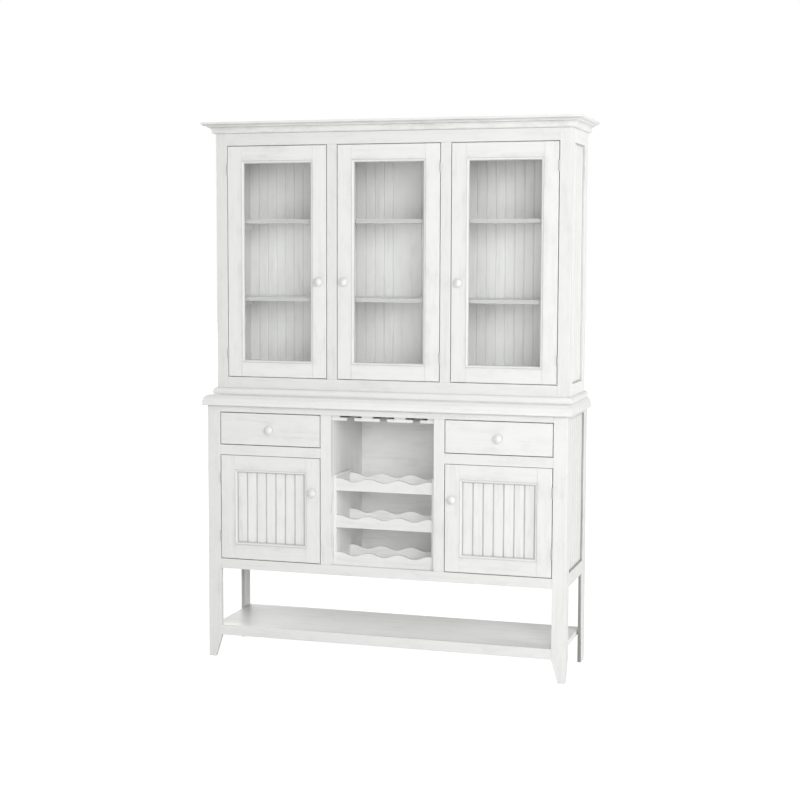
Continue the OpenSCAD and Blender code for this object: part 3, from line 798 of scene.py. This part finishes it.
def screw_head(bm, at, out, turn, radius, proud):
    """Adds a slotted screw head on a face whose outward direction is out."""
    out = Vector(out)
    side = out.orthogonal().normalized()
    side.rotate(Quaternion(out, turn))
    up = out.cross(side)
    half = radius * SLOT_SHARE
    start = math.asin(SLOT_SHARE)

    def vert(u, v, height):
        return bm.verts.new(Vector(at) + side * u + up * v + out * height)

    halves = []
    for sign in (1, -1):
        angles = [start + (math.pi - 2 * start) * i / HEAD_STEPS for i in range(HEAD_STEPS + 1)]
        ring = [(sign * radius * math.cos(a), sign * radius * math.sin(a)) for a in angles]
        foot = [vert(u, v, -SUNK) for u, v in ring]
        rim = [vert(u, v, proud * 0.5) for u, v in ring]
        top = [vert(u * HEAD_TOP, sign * half + (v - sign * half) * HEAD_TOP, proud) for u, v in ring]
        low = [vert(*ring[0], proud * 0.1), vert(*ring[-1], proud * 0.1)]
        for i in range(HEAD_STEPS):
            wall = [foot[i], foot[i + 1], rim[i + 1], rim[i]]
            # The first and last walls also meet a corner of the slot's floor
            if i == 0:
                wall.append(low[0])
            if i == HEAD_STEPS - 1:
                wall.insert(2, low[1])
            bm.faces.new(wall)
            bm.faces.new([rim[i], rim[i + 1], top[i + 1], top[i]])
        bm.faces.new(top)
        # The slot's wall and floor take the dark metal of the second slot: painted shade in the slot
        slot_wall = bm.faces.new([low[0], rim[0], top[0], top[-1], rim[-1], low[1]])
        slot_wall.material_index = 1
        halves.append((foot, low))
    (foot, low), (other_foot, other_low) = halves
    floor = bm.faces.new([low[0], low[1], other_low[0], other_low[1]])
    floor.material_index = 1
    bm.faces.new([foot[-1], other_foot[0], other_low[0], low[1]])
    bm.faces.new([other_foot[-1], foot[0], low[0], other_low[1]])
    bm.faces.new(foot + other_foot)


def body_screws(body, places):
    """One piece with all of a body's screw heads; places lists (at, out, head)."""
    bm = bmesh.new()
    for at, out, head in places:
        screw_head(bm, at, out, dice.uniform(0, math.pi), *head)
    bmesh.ops.recalc_face_normals(bm, faces=bm.faces)
    made = new_object(body + "_screws", bm)
    made.data.materials.append(steel)
    made.data.materials.append(slot_shade)
    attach(made, body)


def leaf_screws(x, side, front, z):
    """Three screws through a hinge leaf whose face looks along side."""
    return [((x, front + y, z + dz), (side, 0, 0), LEAF_HEAD) for dz, y in LEAF_ROWS]


def knob_screw(knob, y):
    """The screw that holds a knob, seen on the face behind it at y."""
    at = middle(*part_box(knob))
    return ((at.x, y, at.z), (0, 1, 0), KNOB_HEAD)


def rear_screws(name):
    """A row of screws along the top and bottom of a back, and some up its sides."""
    low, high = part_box(name)
    left, right = low[0] + BACK_INSET, high[0] - BACK_INSET
    bottom, top = low[2] + BACK_INSET, high[2] - BACK_INSET
    columns = [left + (right - left) * i / (BACK_SCREWS - 1) for i in range(BACK_SCREWS)]
    points = [(x, z) for x in columns for z in (bottom, top)]
    points += [(x, bottom + (top - bottom) * i / 4) for x in (left, right) for i in (1, 2, 3)]
    return [((x, high[1], z), (0, 1, 0), BACK_HEAD) for x, z in points]


def screws_by_body():
    """Screws of the hinges, knobs, strike plates and backs, listed by body."""
    found = {"cabinet": rear_screws("base_back_panel") + rear_screws("hutch_back_boards")}
    for joint in frame["record"]["behaviour"]["joints"]:
        body = joint["child"]
        if joint["type"] != "hinge":
            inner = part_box(body + "_box")[0][1] + DRAWER_BOARD
            found[body] = [knob_screw(body + "_knob", inner)]
            continue
        x = joint["pos_m"][0]
        side = 1 if joint["axis"][2] > 0 else -1
        front, back = (corner[1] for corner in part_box(body + "_frame"))
        found[body] = [knob_screw(body + "_knob", back)]
        for low, high in boards[body + "_hardware"].boxes:
            at = middle(low, high)
            if high.z - low.z > LEAF_HEIGHT:
                found["cabinet"] += leaf_screws(x + side * LEAF_JOINT, -side, front, at.z)
                found[body] += leaf_screws(x - side * LEAF_JOINT, side, front, at.z)
            else:
                spots = [(at.x + dx, high.y, at.z) for dx in STRIKE_SCREWS]
                found[body] += [(spot, (0, 1, 0), STRIKE_HEAD) for spot in spots]
    return found


def dovetails(drawer_name):
    """Ends of the pins that join a drawer box's corners, in the outer faces of its sides."""
    low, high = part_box(drawer_name + "_box")
    bm = bmesh.new()
    pitch = (high[2] - low[2]) / PINS
    for x, out in ((low[0], -1), (high[0], 1)):
        for y, inward in ((low[1], 1), (high[1], -1)):
            for i in range(PINS):
                z = low[2] + pitch * (i + 0.5)
                narrow, wide = pitch * PIN_NARROW, pitch * PIN_WIDE
                inner = y + inward * DRAWER_BOARD
                outline = [(y, z - narrow), (y, z + narrow), (inner, z + wide), (inner, z - wide)]
                bottom = [(x - out * SUNK, *p) for p in outline]
                top = [(x + out * PIN_PROUD, *p) for p in outline]
                prism(bm, bottom, top)
    bmesh.ops.recalc_face_normals(bm, faces=bm.faces)
    made = new_object(drawer_name + "_dovetails", bm)
    made.data.materials.append(end_grain)
    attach(made, drawer_name)


def prism(bm, bottom, top):
    """Adds a prism between two outlines with as many points."""
    lower = [bm.verts.new(p) for p in bottom]
    upper = [bm.verts.new(p) for p in top]
    bm.faces.new(lower)
    bm.faces.new(upper)
    for i in range(len(lower)):
        k = (i + 1) % len(lower)
        bm.faces.new([lower[i], lower[k], upper[k], upper[i]])


# ---- The scene ----

camera()
world_and_floor()
for lamp_name, settings in SOFTBOXES.items():
    softbox(lamp_name, *settings)

boards = {name: Boards(name) for name in frame["nodes"]}
bodies = frame["record"]["behaviour"]["bodies"]
slots = {part["node"]: part["material_slot"] for part in frame["record"]["subparts"]}
dice = random.Random(7)

outside = painted_set("paint") + [painted_wood("paint_edge", 2, strength=1.6)]
# The insides and the rack are painted lighter than the outside: painted light
inside = painted_set("inside_paint", INSIDE, INSIDE_GLAZE, INSIDE_STREAKS)
inside.append(painted_wood("inside_paint_edge", 2, INSIDE, INSIDE_GLAZE, 1.6))
rack_inside = painted_set("rack_paint", RACK_INSIDE, INSIDE_GLAZE, 1.2)
knob_paint = painted_wood("knob_paint", 1, toned(PAINT, KNOB_PAINTED_SHADE), strength=0.6, rough_from=0.66)
extra_paints = {
    # painted shade on the fronts of the rear legs, under the case
    "base_side_frames": [
        painted_wood(f"rear_{side}_leg_painted_shade", 2, paint, REAR_LEG_SHADE_GREY, 2.0)
        for side, paint in REAR_LEG_PAINTED_SHADE.items()
    ],
    "base_top": [painted_wood("counter_paint", 0, toned(PAINT, COUNTER_PAINTED_LIGHT), strength=0.6)],
    "hutch_shelves": [painted_wood("shelf_edge", 0, SHELF_EDGE_SHADE, GLAZE, 1.2)],
}
drawer_wood = [lacquered_wood("drawer_wood_" + "xyz"[axis], axis) for axis in range(3)]
end_grain = lacquered_wood("end_grain", 0, 0.72)
nickel = metal_finish("satin_nickel", *NICKEL)
steel = metal_finish("zinc_steel", *STEEL)
slot_shade = metal_finish("screw_slot", *SLOT_SHADE)
pane = window_glass("window_glass")

for body, names in bodies.items():
    meeting = meeting_edges(names)
    for name in names:
        kind = slots[name]
        if kind == "door_glass":
            set_materials(name, [pane], lambda low, high: 0)
        elif kind == "hardware":
            set_materials(name, [nickel], lambda low, high: 0)
            ease_edges(name, METAL_EDGE, meeting[name])
        elif kind == "drawer_wood":
            set_materials(name, drawer_wood, longest_axis)
            ease_edges(name, EASED_EDGE, meeting[name])
        else:
            finish_paint(name, meeting[name])

for body, places in screws_by_body().items():
    body_screws(body, places)
for drawer_name in ("left_drawer", "right_drawer"):
    dovetails(drawer_name)

scene.view_settings.view_transform = "Standard"
